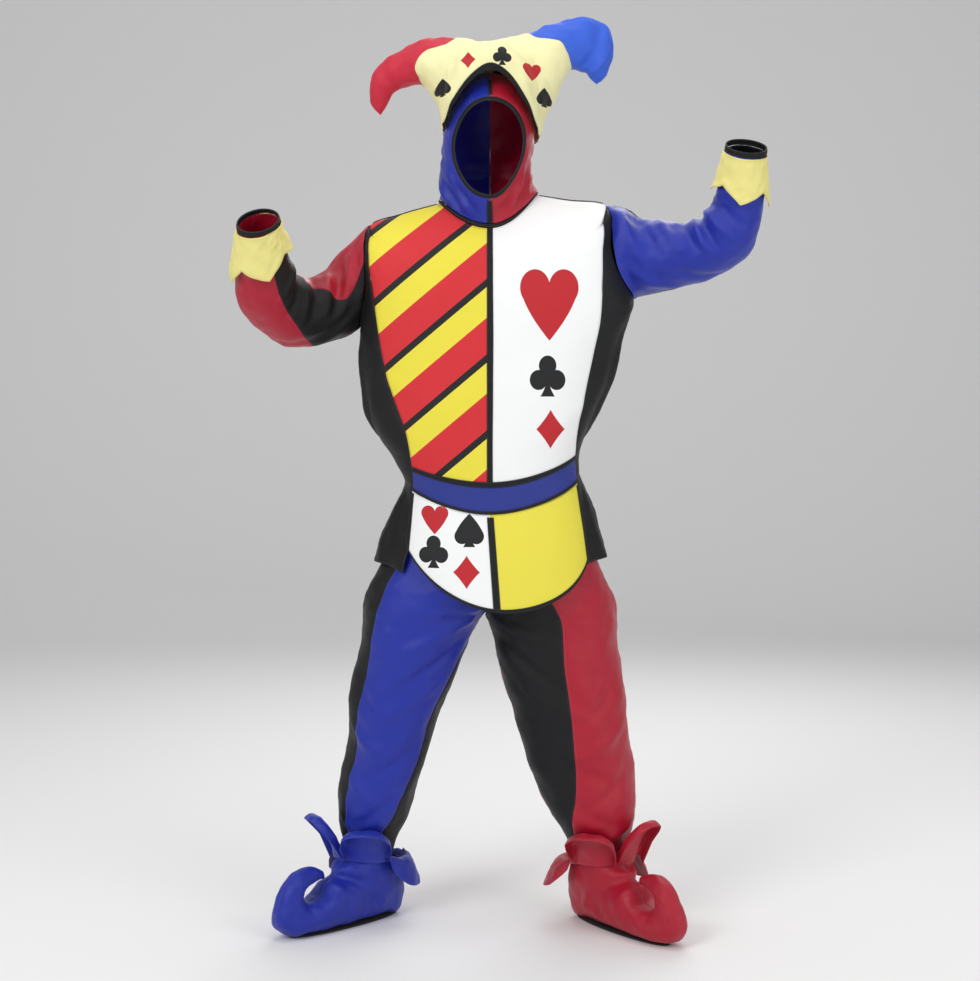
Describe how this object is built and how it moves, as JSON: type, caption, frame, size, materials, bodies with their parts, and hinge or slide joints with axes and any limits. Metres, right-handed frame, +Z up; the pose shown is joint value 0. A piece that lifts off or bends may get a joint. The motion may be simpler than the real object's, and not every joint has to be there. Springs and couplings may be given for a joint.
{
  "type": "jester costume",
  "caption": "Worn jester costume, hollow: harlequin tunic with a card-print front, hood, horned hat, parti-coloured trousers and curl-toed boot covers.",
  "frame": {"origin": "middle between the wearer's shoulders, at the base of the neck, where the wearer holds the costume up", "axes": "+Z up, towards the hat; +Y towards the wearer's back; +X towards the wearer's left"},
  "size_m": [1.0328, 0.4575, 1.8177],
  "materials": {
    "satin_red": "smooth polyester, soft sheen",
    "satin_blue": "smooth polyester, soft sheen",
    "satin_black": "smooth polyester, low sheen",
    "horn_red": "brushed polyester, satin",
    "horn_blue": "brushed polyester, satin",
    "foam_stripe": "printed foam laminate, matt",
    "foam_white": "printed foam laminate, matt",
    "foam_yellow": "foam laminate, matt",
    "belt_blue": "foam laminate, matt",
    "cuff_yellow": "felted, matt",
    "crown_cream": "printed foam laminate, matt",
    "tape_black": "woven binding tape",
    "sole_black": "stiff felt, matt"
  },
  "bodies": {
    "root": {"front_striped": "foam_stripe", "front_card": "foam_white", "centre_tape": "tape_black", "belt_front": "belt_blue", "belt_top_tape": "tape_black", "belt_bottom_tape": "tape_black", "side_front_right": "satin_black", "back_right": "satin_red", "shoulder_tape_right": "tape_black", "side_front_left": "satin_black", "back_left": "satin_black", "shoulder_tape_left": "tape_black", "flap_yellow": "foam_yellow", "flap_card": "foam_white", "flap_centre_tape": "tape_black", "flap_binding_left": "tape_black", "flap_binding_right": "tape_black", "flap_binding_low": "tape_black", "tunic_skirt": "satin_black", "sleeve_right_upper": "satin_red", "sleeve_right_band": "satin_black", "sleeve_right_lower": "satin_red", "sleeve_left_front": "satin_blue", "sleeve_left_back": "satin_black", "cuff_right": "cuff_yellow", "cuff_binding_right": "tape_black", "cuff_left": "cuff_yellow", "cuff_binding_left": "tape_black", "hood_right": "satin_blue", "hood_left": "satin_red", "face_binding": "tape_black", "chin_tape": "tape_black", "forehead_tape": "tape_black", "neck_binding": "tape_black", "crown_front": "crown_cream", "crown_binding_front": "tape_black", "crown_back": "crown_cream", "crown_binding_back": "tape_black", "horn_red": "horn_red", "horn_blue": "horn_blue", "leg_right_front": "satin_blue", "leg_right_wrap": "satin_black", "leg_left_front": "satin_black", "leg_left_wrap": "satin_red", "boot_right_inner": "satin_blue", "boot_right_outer": "satin_blue", "sole_right": "sole_black", "collar_right": "satin_blue", "boot_left_inner": "satin_red", "boot_left_outer": "satin_red", "sole_left": "sole_black", "collar_left": "satin_red"}
  },
  "joints": []
}
